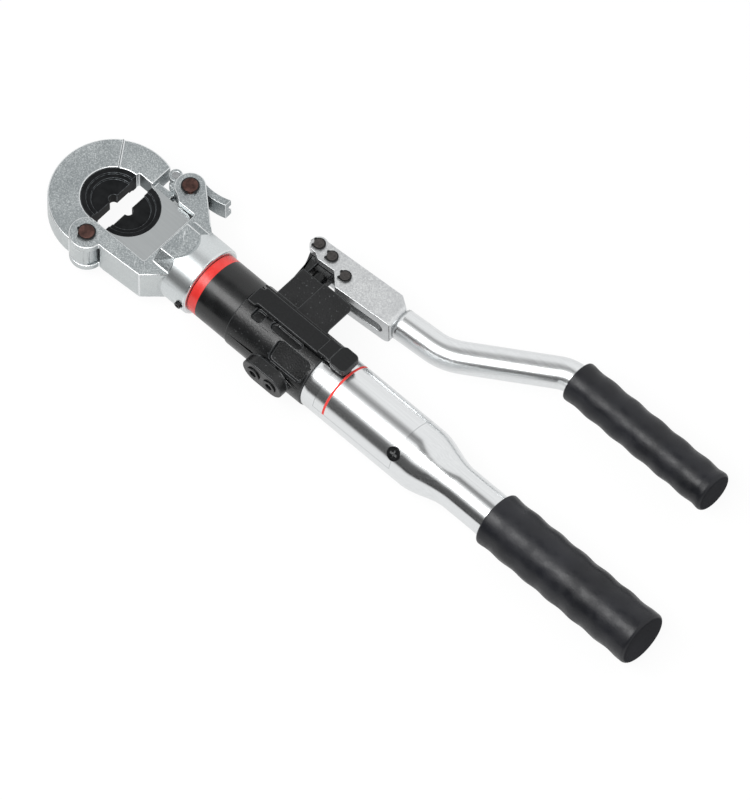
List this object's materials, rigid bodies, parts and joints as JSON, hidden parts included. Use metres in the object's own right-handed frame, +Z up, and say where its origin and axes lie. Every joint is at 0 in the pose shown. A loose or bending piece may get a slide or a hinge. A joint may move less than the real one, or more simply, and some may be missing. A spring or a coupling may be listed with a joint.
{
  "type": "hydraulic crimping tool",
  "caption": "Hand pumped hydraulic crimping tool with a swivelling jaw head, half round dies, pump lever and two grips.",
  "frame": {"origin": "crimp axis: middle of the upper die's parting face, on the tool's middle plane", "axes": "+X from the head to the body grip, +Y to the pump lever's side, +Z up along the crimp axis"},
  "size_m": [0.514, 0.1709, 0.0564],
  "materials": {
    "cast_steel": "zinc plated casting",
    "ground_steel": "smooth satin",
    "bright_steel": "polished",
    "black_oxide": "black oxide, dull",
    "brown_steel": "blackened brown",
    "black_casting": "satin black",
    "red_film": "plain red film",
    "black_film": "plain black film",
    "silver_casting": "bead blasted",
    "bright_tube": "polished",
    "grip_rubber": "soft sheen",
    "seal_rubber": "matt"
  },
  "bodies": {
    "body": {"ram_cylinder": "ground_steel", "front_label_band": "red_film", "rear_label_band": "black_film", "pump_body": "black_casting", "plunger_seal": "seal_rubber", "valve_plugs": "black_oxide", "valve_springs": "bright_steel", "valve_balls": "bright_steel", "release_pivot_pin": "bright_steel", "release_spring": "bright_steel", "reservoir_tube": "bright_tube", "reservoir_seal": "seal_rubber", "oil_bladder": "seal_rubber", "filler_plug": "black_oxide", "body_grip": "grip_rubber"},
    "head": {"fork_yoke": "cast_steel", "hinge_pin": "brown_steel", "latch_pin": "brown_steel", "head_circlips": "black_oxide", "head_set_screw": "black_oxide"},
    "jaw": {"upper_jaw": "cast_steel", "upper_die": "black_oxide"},
    "latch": {"latch_lever": "cast_steel", "latch_catch_pin": "bright_steel", "latch_spring": "bright_steel"},
    "ram": {"ram_head": "ground_steel", "lower_die": "black_oxide", "ram_piston": "bright_steel", "piston_seal": "seal_rubber", "return_spring": "bright_steel"},
    "lever": {"lever_bracket": "silver_casting", "fulcrum_pin": "black_oxide", "plunger_pin": "black_oxide", "stop_pin": "black_oxide", "lever_circlips": "black_oxide", "lever_tube": "bright_tube", "lever_grip": "grip_rubber"},
    "plunger": {"pump_plunger": "black_oxide"},
    "release": {"release_lever": "black_casting"},
    "release_valve": {"release_stem": "bright_steel"}
  },
  "joints": [
    {"name": "head_swivel", "type": "hinge", "parent": "body", "child": "head", "pos_m": [0.08, 0, 0], "axis": [1, 0, 0], "range_deg": [-175, 175]},
    {"name": "jaw_swing", "type": "hinge", "parent": "head", "child": "jaw", "pos_m": [0.0086, -0.034, 0], "axis": [0, 0, 1], "range_deg": [0, 100]},
    {"name": "latch_turn", "type": "hinge", "parent": "head", "child": "latch", "pos_m": [0.0333, 0.0372, 0], "axis": [0, 0, 1], "range_deg": [0, 26]},
    {"name": "ram_slide", "type": "slide", "parent": "head", "child": "ram", "axis": [-1, 0, 0], "range_m": [0, 0.0131], "stiffness_N_per_m": 2000, "springref_m": -0.004, "deforming": ["return_spring"]},
    {"name": "lever_swing", "type": "hinge", "parent": "body", "child": "lever", "pos_m": [0.123, 0.064, 0], "axis": [0, 0, 1], "range_deg": [0, 45]},
    {"name": "plunger_slide", "type": "slide", "parent": "body", "child": "plunger", "axis": [0, 1, 0], "range_m": [0, 0.0092]},
    {"name": "release_press", "type": "hinge", "parent": "body", "child": "release", "pos_m": [0.15, 0.0054, 0.0185], "axis": [0, 1, 0], "range_deg": [0, 3], "stiffness_Nm_per_rad": 1.5, "springref_deg": -2.86},
    {"name": "release_stem_slide", "type": "slide", "parent": "body", "child": "release_valve", "axis": [0, 0, -1], "range_m": [0, 0.00116], "deforming": ["release_spring"]}
  ],
  "couplings": [
    {"joint": "plunger_slide", "follows": "lever_swing", "m_per_rad": 0.011701},
    {"joint": "release_stem_slide", "follows": "release_press", "m_per_rad": 0.02199}
  ]
}
